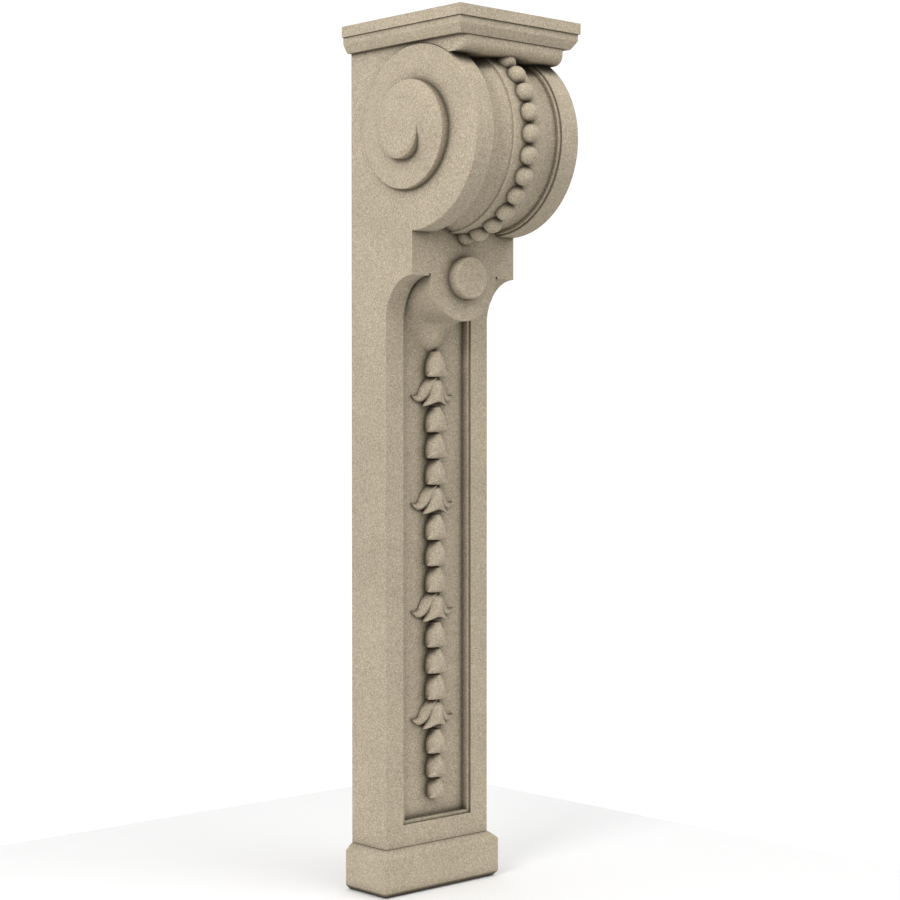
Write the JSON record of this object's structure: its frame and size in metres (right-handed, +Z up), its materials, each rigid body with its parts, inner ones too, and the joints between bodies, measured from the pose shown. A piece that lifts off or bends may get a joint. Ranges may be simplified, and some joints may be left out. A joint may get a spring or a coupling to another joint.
{
  "type": "decorative corbel",
  "caption": "Tall flat-backed cast stone corbel: a panelled leg with a husk drop, ending in a beaded scroll with side volutes, on a plinth block under a moulded cap.",
  "frame": {"origin": "middle of the flat back, half-way up, on the wall plane", "axes": "+Z up along the leg, +Y into the wall so that the front faces -Y, +X to the viewer's right"},
  "size_m": [0.256, 0.281, 1.2576],
  "materials": {
    "cast_stone": "sandy matt cast stone with a fine light and dark grain"
  },
  "bodies": {
    "root": {"plinth_block": "cast_stone", "scroll_leg": "cast_stone", "cap_slab": "cast_stone"}
  },
  "joints": []
}
